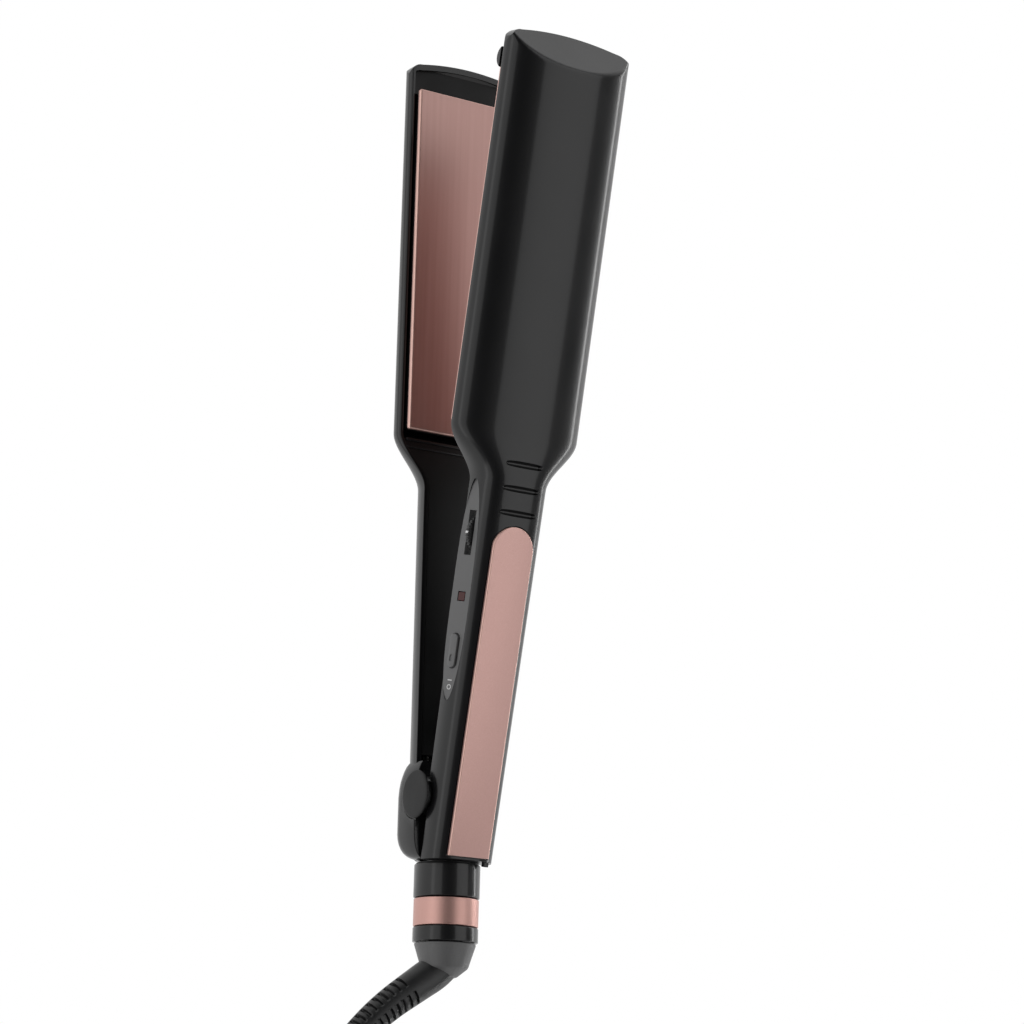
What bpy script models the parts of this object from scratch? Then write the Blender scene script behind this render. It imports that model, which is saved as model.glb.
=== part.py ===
"""Flat iron (hair straightener): two hinged arms with heating plates, lying on its lower arm.

Shapes are worked out in millimetres in arm coordinates: l runs along the iron from the hinge
axis towards the tip, w runs across it (the controls are on the -w side), and t is the distance
from the plane where the closed plates meet. In the world the tip points to -X, the controls
face -Y, and the upper arm is drawn open by OPEN_DEG about the hinge axis, which lies along +Y.
"""
import math

import bmesh
import bpy
from mathutils import Matrix, Vector

MM = 0.001

# Driving dimensions, in millimetres and degrees
OPEN_DEG = 11.7          # the spring holds the arms this far apart
AXIS_X = 85.0            # hinge axis, forward of the middle of the iron
AXIS_Z = 13.4            # hinge axis, above the surface that the lower arm lies on
TIP = 220.5              # hinge axis to tip
TAIL = 18.2              # hinge axis to the tail end of the arms
HEAD_HALF = 20.8         # half width of the heated end
HANDLE_HALF = 11.5       # half width of the handle
TAIL_HALF = 10.9
HEAD_CREST = 13.4        # height of the crowned back over the closing plane
RIM = 3.2                # the casing's rim stands this far back from the closing plane
WALL = 1.5
GAP = 0.3
SHOULDER = (90.0, 105.5)
CAP_RADIUS = 6.9
PIN_RADIUS = 2.0
HUB_HALF = 12.4
BOSS_RADIUS = 5.4        # discs of the knuckle that carry the pin
BOSS_BACK = 9.6
PLATE_L = (106.0, 210.0)
PLATE_HALF = 18.9
PLATE_FACE = 0.35
INLAY_L = (-15.4, 78.4)
INLAY_HALF = 6.7
PANEL_DEG = 18.0         # the control panel faces this far upwards from straight out
PANEL_DIST = 11.15       # panel face, from the centre line of the handle's rounding
PANEL_L = (27.8, 90.2)
DIAL_L = 75.2
DIAL_W = -4.9
DIAL_RADIUS = 6.9
DIAL_T = (5.25, 6.9)
BUTTON_L = (36.7, 46.3)
SCREWS = ((20.0, 0.0), (98.0, 9.0))
COLLAR_T = -2.57         # axis of the cord collar
COLLAR_RADIUS = 9.4
RING_RADIUS = 9.25
SLEEVE_L = (18.9, 28.3)  # measured backwards from the hinge axis
RING_L = (28.6, 36.4)
END_RING_L = (36.7, 40.8)
CONE_L = (41.1, 50.5)
CORD_RADIUS = 3.0
HANK_X = (185.0, 336.6)
HANK_Y = -12.9
HANK_HALF = 27.3
HANK_Z = (0.9, 19.5)

BLACK = ((0.012, 0.012, 0.013), 0.28, 0.0)
MATTE = ((0.035, 0.035, 0.037), 0.6, 0.0)
ROSE = ((0.62, 0.36, 0.31), 0.32, 0.8)
PLATE = ((0.45, 0.24, 0.2), 0.35, 0.7)
STEEL = ((0.6, 0.6, 0.6), 0.3, 1.0)
CERAMIC = ((0.8, 0.78, 0.72), 0.7, 0.0)
BOARD = ((0.05, 0.2, 0.09), 0.5, 0.0)
RED = ((0.25, 0.01, 0.01), 0.2, 0.0)
GREY = ((0.3, 0.3, 0.31), 0.45, 0.0)
SILICONE = ((0.5, 0.12, 0.08), 0.8, 0.0)
BRASS = ((0.7, 0.5, 0.2), 0.35, 1.0)


# ---------- scene, frames and materials ----------

def clear_scene():
    for obj in list(bpy.data.objects):
        bpy.data.objects.remove(obj, do_unlink=True)


def new_collection(name):
    collection = bpy.data.collections.new(name)
    bpy.context.scene.collection.children.link(collection)
    return collection


def new_frame(name, parent=None, place=(0, 0, 0), turn_deg=0.0):
    frame = bpy.data.objects.new(name, None)
    frame.empty_display_size = 0.01
    frame.parent = parent
    frame.location = Vector(place) * MM
    frame.rotation_euler = (0, math.radians(turn_deg), 0)
    PARTS.objects.link(frame)
    return frame


def material(name, look):
    colour, roughness, metallic = look
    made = bpy.data.materials.new(name)
    made.use_nodes = True
    shader = made.node_tree.nodes["Principled BSDF"]
    shader.inputs["Base Color"].default_value = (*colour, 1)
    shader.inputs["Roughness"].default_value = roughness
    shader.inputs["Metallic"].default_value = metallic
    return made


def as_object(name, bm, frame, look=None, smooth=True, flip=False):
    """Turns a bmesh in millimetres into an object on a frame; flip mirrors it to the lower arm."""
    if flip:
        bmesh.ops.scale(bm, vec=(1, 1, -1), verts=bm.verts)
    bmesh.ops.scale(bm, vec=(MM, MM, MM), verts=bm.verts)
    bmesh.ops.recalc_face_normals(bm, faces=bm.faces)
    mesh = bpy.data.meshes.new(name)
    bm.to_mesh(mesh)
    bm.free()
    obj = bpy.data.objects.new(name, mesh)
    obj.parent = frame
    if look is None:
        CUTTERS.objects.link(obj)
        obj.hide_render = True
        obj.display_type = "WIRE"
    else:
        PARTS.objects.link(obj)
        mesh.materials.append(material(name, look))
        if smooth:
            mesh.shade_smooth()
            mesh.set_sharp_from_angle(angle=math.radians(35))
    return obj


def combine(obj, other, operation):
    modifier = obj.modifiers.new(operation.lower(), "BOOLEAN")
    modifier.operation = operation
    modifier.object = other
    modifier.solver = "EXACT"


def cut(obj, *cutters):
    for cutter in cutters:
        combine(obj, cutter, "DIFFERENCE")


# ---------- shape makers: all take and give millimetres in arm coordinates ----------

def arm_point(l, w, t):
    return Vector((-l, w, t))


def box_mesh(l, w, t, bevel=0.0):
    """A box between two values of l, w and t, with its long edges eased if bevel is given."""
    bm = bmesh.new()
    bmesh.ops.create_cube(bm, size=1)
    size = Vector((l[1] - l[0], w[1] - w[0], t[1] - t[0]))
    middle = arm_point((l[0] + l[1]) / 2, (w[0] + w[1]) / 2, (t[0] + t[1]) / 2)
    bmesh.ops.scale(bm, vec=size, verts=bm.verts)
    bmesh.ops.translate(bm, vec=middle, verts=bm.verts)
    if bevel:
        bmesh.ops.bevel(bm, geom=list(bm.edges), offset=bevel, segments=1, affect="EDGES")
    return bm


def rod_mesh(radius, axis, middle, length, segments=24, end_radius=None):
    """A cylinder, or a cone with another end_radius, along one axis: 'l', 'w' or 't'."""
    bm = bmesh.new()
    tip = radius if end_radius is None else end_radius
    bmesh.ops.create_cone(
        bm, cap_ends=True, segments=segments, radius1=radius, radius2=tip, depth=length
    )
    turns = {
        "l": Matrix.Rotation(math.radians(-90), 3, "Y"),
        "w": Matrix.Rotation(math.radians(-90), 3, "X"),
        "t": Matrix.Identity(3),
    }
    bmesh.ops.rotate(bm, matrix=turns[axis], verts=bm.verts)
    bmesh.ops.translate(bm, vec=arm_point(*middle), verts=bm.verts)
    return bm


def turned_mesh(profile, t_axis, steps=32):
    """A ring-shaped profile of (back, radius) points turned about the collar's axis."""
    mesh = bpy.data.meshes.new("profile")
    verts = [(back, 0, radius) for back, radius in profile]
    count = len(verts)
    edges = [(i, (i + 1) % count) for i in range(count)]
    edges = [(i, j) for i, j in edges if verts[i][2] > 0 or verts[j][2] > 0]
    mesh.from_pydata(verts, edges, [])
    obj = bpy.data.objects.new("profile", mesh)
    bpy.context.scene.collection.objects.link(obj)
    screw = obj.modifiers.new("turn", "SCREW")
    screw.axis = "X"
    screw.steps = steps
    screw.render_steps = steps
    screw.use_merge_vertices = True
    screw.merge_threshold = 0.0001
    bm = evaluated_mesh(obj)
    bmesh.ops.remove_doubles(bm, verts=bm.verts, dist=0.0005)
    bmesh.ops.translate(bm, vec=(0, 0, t_axis), verts=bm.verts)
    return bm


def evaluated_mesh(obj):
    """The evaluated mesh of a helper object as a bmesh; the helper is then removed."""
    graph = bpy.context.evaluated_depsgraph_get()
    mesh = bpy.data.meshes.new_from_object(obj.evaluated_get(graph))
    bm = bmesh.new()
    bm.from_mesh(mesh)
    bpy.data.meshes.remove(mesh)
    bpy.data.objects.remove(obj, do_unlink=True)
    return bm


def prism_mesh(outline, t):
    """An outline of (l, w) points between two heights; a height may be a function of l."""
    bm = bmesh.new()
    levels = []
    for level in t:
        height = level if callable(level) else (lambda l, level=level: level)
        levels.append([bm.verts.new(arm_point(l, w, height(l))) for l, w in outline])
    count = len(outline)
    bm.faces.new(levels[0])
    bm.faces.new(levels[1][::-1])
    for i in range(count):
        j = (i + 1) % count
        bm.faces.new((levels[0][i], levels[0][j], levels[1][j], levels[1][i]))
    return bm


def loft_mesh(rings):
    """A closed solid through rings of points, with flat ends."""
    bm = bmesh.new()
    verts = [[bm.verts.new(arm_point(*point)) for point in ring] for ring in rings]
    count = len(rings[0])
    for low, high in zip(verts, verts[1:]):
        for i in range(count):
            j = (i + 1) % count
            bm.faces.new((low[i], low[j], high[j], high[i]))
    bm.faces.new(verts[0])
    bm.faces.new(verts[-1][::-1])
    return bm


def slice_mesh(bm, point, normal):
    """Cuts away what lies on the normal's side of a plane and closes the cut."""
    result = bmesh.ops.bisect_plane(
        bm, geom=bm.verts[:] + bm.edges[:] + bm.faces[:], plane_co=point, plane_no=normal,
        clear_outer=True, dist=1e-5,
    )
    edges = [e for e in result["geom_cut"] if isinstance(e, bmesh.types.BMEdge)]
    bmesh.ops.contextual_create(bm, geom=edges)
    return bm


def tube_mesh(points, radius, resolution=2, taper=None):
    """A tube along a poly line, with closed ends; taper gives the radius factor at each point."""
    curve = bpy.data.curves.new("tube", "CURVE")
    curve.dimensions = "3D"
    curve.bevel_depth = radius
    curve.bevel_resolution = resolution
    curve.use_fill_caps = True
    spline = curve.splines.new("POLY")
    spline.points.add(len(points) - 1)
    for i, (target, point) in enumerate(zip(spline.points, points)):
        target.co = (*point, 1)
        target.radius = taper[i] if taper else 1.0
    obj = bpy.data.objects.new("tube", curve)
    bpy.context.scene.collection.objects.link(obj)
    bm = evaluated_mesh(obj)
    bmesh.ops.remove_doubles(bm, verts=bm.verts, dist=0.001)
    return bm


def smooth_line(points, spacing):
    """Evenly spaced points on a smooth curve through the given ones."""
    points = [Vector(p) for p in points]
    ends = [points[0] * 2 - points[1]] + points + [points[-1] * 2 - points[-2]]
    dense = []
    for i in range(1, len(ends) - 2):
        p0, p1, p2, p3 = ends[i - 1:i + 3]
        for k in range(40):
            u = k / 40
            dense.append(0.5 * (
                2 * p1 + (p2 - p0) * u + (2 * p0 - 5 * p1 + 4 * p2 - p3) * u * u
                + (3 * p1 - p0 - 3 * p2 + p3) * u ** 3
            ))
    dense.append(points[-1])
    total = sum((b - a).length for a, b in zip(dense, dense[1:]))
    count = max(2, round(total / spacing))
    line, walked, target = [dense[0]], 0.0, total / count
    for a, b in zip(dense, dense[1:]):
        step = (b - a).length
        while walked + step >= target - 1e-9 and len(line) < count:
            line.append(a.lerp(b, (target - walked) / step))
            target += total / count
        walked += step
    line.append(dense[-1])
    return line


# ---------- the casing's shape ----------

def blend(a, b, x):
    """0 before a, 1 after b, and an even S-curve between them."""
    u = min(1.0, max(0.0, (x - a) / (b - a)))
    return u * u * (3 - 2 * u)


def half_width(l):
    handle = TAIL_HALF + (HANDLE_HALF - TAIL_HALF) * (l + TAIL) / 106
    return handle + (HEAD_HALF - handle) * blend(*SHOULDER, l)


def crest(l, upper):
    """Height of the casing's back; the upper handle gets slimmer towards the hinge."""
    if not upper:
        return 13.25 + 0.15 * blend(*SHOULDER, l)
    return HEAD_CREST - max(0.0, 98.0 - l) * 0.0118


def half_section(l, upper, side_wall=0.0, top_wall=0.0, rim=RIM, steps=7):
    """(w, t) points from the rim up a rounded side to the crest, less the wall's thickness."""
    shoulder = blend(*SHOULDER, l)
    roundness = (3.0 if upper else 2.5) * (1 - shoulder) + 2.1 * shoulder
    widest_t = 2.6 + 2.2 * shoulder
    half = half_width(l) - side_wall
    height = crest(l, upper) - top_wall - widest_t
    start_t = max(widest_t, RIM + 1.3)
    start = math.asin(((start_t - widest_t) / height) ** (roundness / 2))
    points = []
    for i in range(steps + 1):
        angle = start + (math.pi / 2 - start) * i / steps
        w = half * max(0.0, math.cos(angle)) ** (2 / roundness)
        points.append((w, widest_t + height * math.sin(angle) ** (2 / roundness)))
    edge = points[0][0]
    if side_wall:
        return [(edge, rim)] + points
    ease = 0.1 + 0.75 * shoulder
    return [(edge - ease, rim), (edge - 0.02, rim + 1.4 * ease)] + points


def section_ring(l, upper, **options):
    half = half_section(l, upper, **options)
    return [(l, -w, t) for w, t in half] + [(l, w, t) for w, t in half[-2::-1]]


STATIONS = [20, 50, 79, 86, 90, 92, 94, 96, 98, 100, 102, 104, 106, 110, 224]


def tip_outline(upper, inset=0.0):
    """The plan shape of the iron's tip, as an outline that the arms are trimmed to."""
    end = TIP - inset
    corner = [(5.9, 20.95), (4.4, 20.4), (3.0, 19.2), (2.1, 17.6)]
    if not upper:
        corner = [(5.1, 20.95), (3.5, 20.5), (2.4, 19.5), (1.8, 18.0)]
    bow = [(1.75 * (w / 17) ** 2, w) for w in (16, 12, 8, 4, 0)]
    side = [(end - back, w) for back, w in corner + bow]
    return [(-40, 30), (end - 6.2, 30)] + side + [(l, -w) for l, w in side[-2::-1]] \
        + [(end - 6.2, -30), (-40, -30)]


def tip_slope(bm, inset=0.0):
    """The sloping facet on the tip's back."""
    slope = math.radians(39.5)
    normal = arm_point(math.sin(slope), 0, math.cos(slope))
    point = arm_point(209.6, 0, HEAD_CREST) - normal * inset
    return slice_mesh(bm, point, normal)


def tail_slope(bm, inset=0.0):
    """The tail is cut square to the table as the arm stands open."""
    opened = math.radians(OPEN_DEG)
    normal = -arm_point(math.cos(opened), 0, -math.sin(opened))
    return slice_mesh(bm, normal * (TAIL + 0.1 - inset), normal)


def casing_solid(upper):
    stations = [-30] + STATIONS if upper else [-17.9, -17.2, -15.8, -13.6] + STATIONS
    rings = [section_ring(l, upper) for l in stations]
    if not upper:
        rings = [[(l, w * (1 - back), t if t < 8 else 8 + (t - 8) * (1 - 3 * back))
                  for l, w, t in ring]
                 for ring, back in zip(rings, [0.25, 0.12, 0.04] + [0.0] * (len(rings) - 3))]
    bm = tip_slope(loft_mesh(rings))
    return tail_slope(bm) if upper else bm


def casing_cavity(upper):
    stations = [-30 if upper else -16.2] + STATIONS
    rings = [section_ring(l, upper, side_wall=WALL, top_wall=2.3, rim=-3.0) for l in stations]
    bm = tip_slope(loft_mesh(rings), inset=1.8)
    return tail_slope(bm, inset=1.6) if upper else bm


def pill_outline(l, half, w=0.0, steps=6):
    """A slot-shaped outline between two values of l."""
    points = []
    for middle, start in ((l[1] - half, -90), (l[0] + half, 90)):
        for i in range(steps + 1):
            angle = math.radians(start + 180 * i / steps)
            points.append((middle + half * math.cos(angle), w + half * math.sin(angle)))
    return points


def inlay_outline(grow=0.0):
    """Round at the front end, and square at the hinge end."""
    half = INLAY_HALF + grow
    points = [(INLAY_L[0] - grow, half), (INLAY_L[0] - grow, -half)]
    front = INLAY_L[1] - INLAY_HALF
    for i in range(9):
        angle = math.radians(-90 + 22.5 * i)
        points.append((front + half * math.cos(angle), half * math.sin(angle)))
    return points


def panel_outline(grow=0.0):
    """A long lens with round ends, as (l, s): s runs across the panel."""
    low, high = PANEL_L
    points = []
    for i in range(15):
        u = i / 14
        width = 3.15 * (1 - abs(2 * u - 1) ** 3.2) ** 0.6 + 0.05
        points.append((low - grow + u * (high - low + 2 * grow), width + grow))
    return points + [(l, -s) for l, s in points[::-1]]


def panel_prism(outline, depth):
    """An (l, s) outline stood on the panel's plane, between two distances from the handle."""
    bm = bmesh.new()
    tilt = math.radians(PANEL_DEG)
    out = Vector((0, -math.cos(tilt), math.sin(tilt)))
    across = Vector((0, math.sin(tilt), math.cos(tilt)))
    middle = Vector((0, 0, 2.6))
    levels = [
        [bm.verts.new(Vector((-l, 0, 0)) + across * s + middle + out * d) for l, s in outline]
        for d in depth
    ]
    bm.faces.new(levels[0])
    bm.faces.new(levels[1][::-1])
    for i in range(len(outline)):
        j = (i + 1) % len(outline)
        bm.faces.new((levels[0][i], levels[0][j], levels[1][j], levels[1][i]))
    return bm


# ---------- sub-parts of both arms ----------

def make_casing(name, frame, upper):
    flip = not upper
    shell = as_object(name, casing_solid(upper), frame, BLACK, flip=flip)
    trim = as_object(f"{name}_plan", prism_mesh(tip_outline(upper), (-40, 40)), frame, flip=flip)
    combine(shell, trim, "INTERSECT")
    if upper:
        foot = box_mesh((-17.85, -15.6), (6.45, 8.05), (8.83, 10.27))
        combine(shell, as_object("tail_foot", foot, frame), "UNION")
    else:
        for solid in hub_solids(frame):
            combine(shell, solid, "UNION")
    cavity = as_object(f"{name}_cavity", casing_cavity(upper), frame, flip=flip)
    inner = as_object(f"{name}_inner_plan", prism_mesh(tip_outline(upper, 1.8), (-40, 40)),
                      frame, flip=flip)
    combine(cavity, inner, "INTERSECT")
    cut(shell, cavity)
    floor = [lambda l: crest(l, upper) - 1.25, 20.0]
    recess = as_object(f"{name}_recess", prism_mesh(inlay_outline(GAP), floor), frame, flip=flip)
    cut(shell, recess)
    if upper:
        cut(shell, *upper_casing_cutters(frame))
    else:
        cut(shell, *lower_casing_cutters(frame))
    return shell


def hub_ring(l, half, depth):
    corner = 5.0
    points = [(half, 0.3), (half, depth - corner)]
    for i in range(1, 5):
        angle = math.radians(22.5 * i)
        points.append((half - corner + corner * math.cos(angle),
                       depth - corner + corner * math.sin(angle)))
    return [(l, w, t) for w, t in points] + [(l, -w - 0.5, t) for w, t in points[::-1]]


def hub_solids(frame):
    """The knuckle at the lower arm's tail, and the discs that carry the pin."""
    shape = [(-17.9, 9.5, 6.9), (-17.3, 10.5, 8.9), (-15.9, 11.4, 11.0), (-13.5, 12.1, 12.4),
             (-10.5, HUB_HALF, 12.95), (1.0, HUB_HALF, 13.0), (4.5, 12.0, 12.7), (7.5, 11.3, 12.1),
             (9.8, 10.2, 11.4)]
    hub = loft_mesh([hub_ring(*row) for row in shape])
    yield as_object("hub_solid", hub, frame, flip=True)
    disc = rod_mesh(BOSS_RADIUS, "w", (0, (BOSS_BACK - HUB_HALF) / 2, 0), BOSS_BACK + HUB_HALF, 40)
    yield as_object("hub_disc", disc, frame)


def lower_casing_cutters(frame):
    yield as_object("hub_throat", box_mesh((-16.2, 9.0), (-9.2, 8.0), (-9.0, 9.0)), frame)
    yield as_object("pin_hole_lower", rod_mesh(PIN_RADIUS + GAP, "w", (0, 0, 0), 40), frame)
    socket = box_mesh((-25, -14), (-6.3, 6.3), (-7.4, 1.0))
    yield as_object("sleeve_socket", socket, frame)
    seat = rod_mesh(CAP_RADIUS + GAP, "w", (0, -HUB_HALF - 2.0, 0), 4.0, 40)
    yield as_object("cap_seat_front", seat, frame)
    seat = rod_mesh(BOSS_RADIUS + GAP, "w", (0, BOSS_BACK + 3.0, 0), 6.0, 40)
    yield as_object("cap_seat_back", seat, frame)


def upper_casing_cutters(frame):
    """Clearance for the hinge, the grip grooves and the opening for the control panel."""
    for name, side in (("front", -1), ("back", 1)):
        disc = rod_mesh(BOSS_RADIUS + 0.5, "w", (0, side * 12, 0), 7.0 if side < 0 else 9.0, 40)
        yield as_object(f"hinge_clearance_{name}", disc, frame)
    yield as_object("tail_relief", box_mesh((-30, -3.0), (-14, 14), (0, 4.3)), frame)
    for i, l in enumerate((96.0, 89.0, 82.1)):
        outline = [(l + a, b) for b, a in pill_outline((-6.4, 6.4), 0.95, 0.0, 8)]
        groove = prism_mesh(outline, (crest(l, True) - 0.75, 20))
        yield as_object(f"groove_{i + 1}", groove, frame)
    yield as_object("panel_opening", panel_prism(panel_outline(GAP), (8.2, 16)), frame)


def make_inlay(name, frame, upper):
    levels = [lambda l: crest(l, upper) - 0.95, lambda l: crest(l, upper) + 0.15]
    inlay = as_object(name, prism_mesh(inlay_outline(), levels), frame, ROSE, flip=not upper)
    bevel = inlay.modifiers.new("edge", "BEVEL")
    bevel.width = 0.0002
    bevel.segments = 1
    bevel.limit_method = "ANGLE"
    bevel.angle_limit = math.radians(50)
    return inlay


def make_plate(name, frame, flip):
    """An aluminium heating plate with bright chamfered edges."""
    plate = as_object(name, box_mesh(PLATE_L, (-PLATE_HALF, PLATE_HALF), (PLATE_FACE, 2.1)),
                      frame, PLATE, flip=flip)
    bevel = plate.modifiers.new("edge", "BEVEL")
    bevel.width = 0.0004
    bevel.segments = 2
    return plate


def make_carrier(name, frame, flip):
    """The heat-resistant frame that the plate sits on, with a pocket for the heater."""
    low, high = PLATE_L
    carrier = as_object(name, box_mesh((low + 0.5, high - 0.5), (-18.2, 18.2), (2.4, 4.9), 0.3),
                        frame, MATTE, flip=flip)
    pocket = box_mesh((low + 6, high - 6), (-12, 12), (2.0, 4.0))
    cut(carrier, as_object(f"{name}_pocket", pocket, frame, flip=flip))
    return carrier


def make_head_inside(arm, frame, flip):
    low, high = PLATE_L
    as_object(f"{arm}_heater", box_mesh((low + 7, high - 7), (-11, 11), (2.4, 3.5)), frame,
              CERAMIC, flip=flip)
    as_object(f"{arm}_mica_sheet", box_mesh((low + 3, high - 3), (-15, 15), (5.2, 5.6)), frame,
              ((0.5, 0.42, 0.3), 0.5, 0.0), flip=flip)
    for number, l in ((1, 126.0), (2, 190.0)):
        pad = rod_mesh(3.2, "t", (l, 0, (5.9 + 10.6) / 2), 4.7, 16)
        as_object(f"{arm}_plate_pad_{number}", pad, frame, SILICONE, flip=flip)


def make_liner(name, frame, upper):
    """The inner cover of the handle: it widens with the shoulder and has a shallow tray."""
    flip = not upper
    stations = (12.0, 50.0, 79.0, 86.0, 90.0, 92, 94, 96, 98, 100, 102, 104, 104.4)
    side = [(l, half_section(l, upper, side_wall=WALL + GAP, top_wall=2.3)[0][0])
            for l in stations]
    outline = side + [(l, -w) for l, w in side[::-1]]
    liner = as_object(name, prism_mesh(outline, (3.5, 5.0)), frame, MATTE, flip=flip)
    tray = prism_mesh(pill_outline((28.0, 88.0), 7.2), (0, 4.2))
    cut(liner, as_object(f"{name}_tray", tray, frame, flip=flip))
    if upper:
        room = panel_prism(panel_outline(2 * GAP), (8.0, 16))
        cut(liner, as_object(f"{name}_panel_room", room, frame))
    for number, (l, w) in enumerate(SCREWS, 1):
        hole = rod_mesh(1.5, "t", (l, w, 4), 10, 16)
        cut(liner, as_object(f"{name}_hole_{number}", hole, frame, flip=flip))
    return liner


def make_screws(arm, frame, flip):
    for number, (l, w) in enumerate(SCREWS, 1):
        head = rod_mesh(2.4, "t", (l, w, 2.75), 0.9, 16)
        screw = as_object(f"{arm}_screw_{number}", head, frame, STEEL, flip=flip)
        shank = rod_mesh(1.15, "t", (l, w, 6.0), 6.6, 12)
        combine(screw, as_object(f"{arm}_shank_{number}", shank, frame, flip=flip), "UNION")


# ---------- the upper arm only ----------

def make_controls(frame):
    panel = as_object("control_panel", panel_prism(panel_outline(), (9.9, PANEL_DIST)), frame,
                      MATTE)
    slot = box_mesh((DIAL_L - 6.5, DIAL_L + 6.5), (-16, -6), (DIAL_T[0] - 0.35, DIAL_T[1] + 0.35))
    window = panel_prism([(55.5, -1.5), (58.5, -1.5), (58.5, 1.5), (55.5, 1.5)], (5, 16))
    hole = panel_prism(pill_outline((BUTTON_L[0] - GAP, BUTTON_L[1] + GAP), 1.65), (5, 16))
    cut(panel, as_object("dial_slot", slot, frame), as_object("led_window_hole", window, frame),
        as_object("button_hole", hole, frame))
    lens = panel_prism([(55.8, -1.2), (58.2, -1.2), (58.2, 1.2), (55.8, 1.2)],
                       (10.0, PANEL_DIST - 0.05))
    as_object("indicator_lens", lens, frame, RED)
    as_object("indicator_led", rod_mesh(0.9, "w", (57.0, -7.1, 6.2), 2.4, 12), frame, RED)


def make_electronics(frame):
    as_object("circuit_board", box_mesh((31, 92), (-4.9, 4.9), (8.7, 9.5)), frame, BOARD)
    pot = as_object("dial_potentiometer",
                    box_mesh((DIAL_L - 4, DIAL_L + 4), (DIAL_W - 2.8, DIAL_W + 4), (7.1, 8.4)),
                    frame, GREY)
    bore = rod_mesh(1.7, "t", (DIAL_L, DIAL_W, 7.0), 2.0, 16)
    cut(pot, as_object("potentiometer_bore", bore, frame))
    as_object("power_switch", box_mesh((38, 45), (-6.6, -0.6), (5.3, 8.4), 0.3), frame, GREY)
    as_object("mains_capacitor", box_mesh((48.5, 54.5), (-3.4, 3.4), (5.3, 8.4), 0.4), frame,
              ((0.55, 0.45, 0.1), 0.5, 0.0))
    as_object("thermostat", box_mesh((152, 164), (-4, 4), (5.9, 8.6), 0.4), frame, GREY)


def make_align_tabs(frame):
    """Round tabs hanging from the upper casing's rim, beside the ends of the plates."""
    for name, side in (("front", -1), ("back", 1)):
        tab = rod_mesh(3.3, "w", (210.4, side * 20.2, 4.3), 1.0, 32)
        bmesh.ops.bevel(tab, geom=[e for e in tab.edges if len(e.link_faces) == 2
                                   and abs(e.verts[0].co.y - e.verts[1].co.y) < 1e-6],
                        offset=0.2, segments=1, affect="EDGES")
        slice_mesh(tab, arm_point(0, 0, RIM - GAP), Vector((0, 0, 1)))
        as_object(f"align_tab_{name}", tab, frame, BLACK)


def make_hinge_bracket(frame):
    """The upper arm's steel lugs on the hinge pin, joined by a web."""
    web = box_mesh((-3.4, 9.0), (-8.7, 7.6), (5.3, 6.3))
    bracket = as_object("hinge_bracket", web, frame, STEEL)
    for number, w in ((1, -7.7), (2, 6.6)):
        lug = rod_mesh(4.2, "w", (0, w, 0), 2.0, 24)
        arm = box_mesh((-3.4, 3.4), (w - 1.0, w + 1.0), (0.5, 6.0))
        combine(bracket, as_object(f"lug_{number}", lug, frame), "UNION")
        combine(bracket, as_object(f"lug_arm_{number}", arm, frame), "UNION")
    bore = rod_mesh(PIN_RADIUS + GAP, "w", (0, 0, 0), 40, 20)
    cut(bracket, as_object("lug_bore", bore, frame))


def make_dial(frame):
    """The temperature wheel: a knurled disc with a stub shaft up into its potentiometer."""
    axle = new_frame("dial_axis", frame, (-DIAL_L, DIAL_W, 0))
    bm = rod_mesh(DIAL_RADIUS, "t", (0, 0, sum(DIAL_T) / 2), DIAL_T[1] - DIAL_T[0], 48)
    for vert in bm.verts:
        if vert.index % 4 >= 2:
            vert.co.x *= 0.965
            vert.co.y *= 0.965
    dial = as_object("temperature_dial", bm, axle, MATTE)
    shaft = rod_mesh(1.3, "t", (0, 0, 7.2), 1.4, 16)
    combine(dial, as_object("dial_shaft", shaft, axle), "UNION")


def make_button(frame):
    button = panel_prism(pill_outline(BUTTON_L, 1.35), (9.3, PANEL_DIST + 0.8))
    as_object("power_button", button, frame, GREY)


# ---------- the lower arm only ----------

def make_hinge(frame):
    pin = rod_mesh(PIN_RADIUS, "w", (0, -1.35, 0), 21.3, 20)
    as_object("hinge_pin", pin, frame, STEEL)
    for name, side, radius, middle in (("front", -1, CAP_RADIUS, -HUB_HALF - GAP - 0.35),
                                       ("back", 1, BOSS_RADIUS - 0.1, BOSS_BACK + GAP + 0.35)):
        cap = rod_mesh(radius, "w", (0, middle, 0), 0.7, 40)
        outer = [f for f in cap.faces if abs(f.calc_center_median().y - middle) > 0.3
                 and f.calc_center_median().y * side > abs(middle)]
        bmesh.ops.bevel(cap, geom=list({e for f in outer for e in f.edges}), offset=0.4,
                        segments=2, affect="EDGES")
        as_object(f"hinge_cap_{name}", cap, frame, BLACK)
    make_spring(frame)


def make_spring(frame):
    """The torsion spring round the pin that pushes the arms apart."""
    turns, radius, wire = 5.0, 3.3, 0.5
    line = []
    for i in range(int(turns * 12) + 1):
        angle = math.radians(90 + 30 * i)
        w = -3.6 + 7.2 * i / (turns * 12)
        line.append((radius * math.cos(angle), w, radius * math.sin(angle)))
    line = [(line[0][0] - 7.0, line[0][1], line[0][2])] + line
    line = line + [(line[-1][0] - 6.0, line[-1][1], line[-1][2] - 5.0)]
    as_object("hinge_spring", tube_mesh(line, wire, 1), frame, STEEL)


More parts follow.
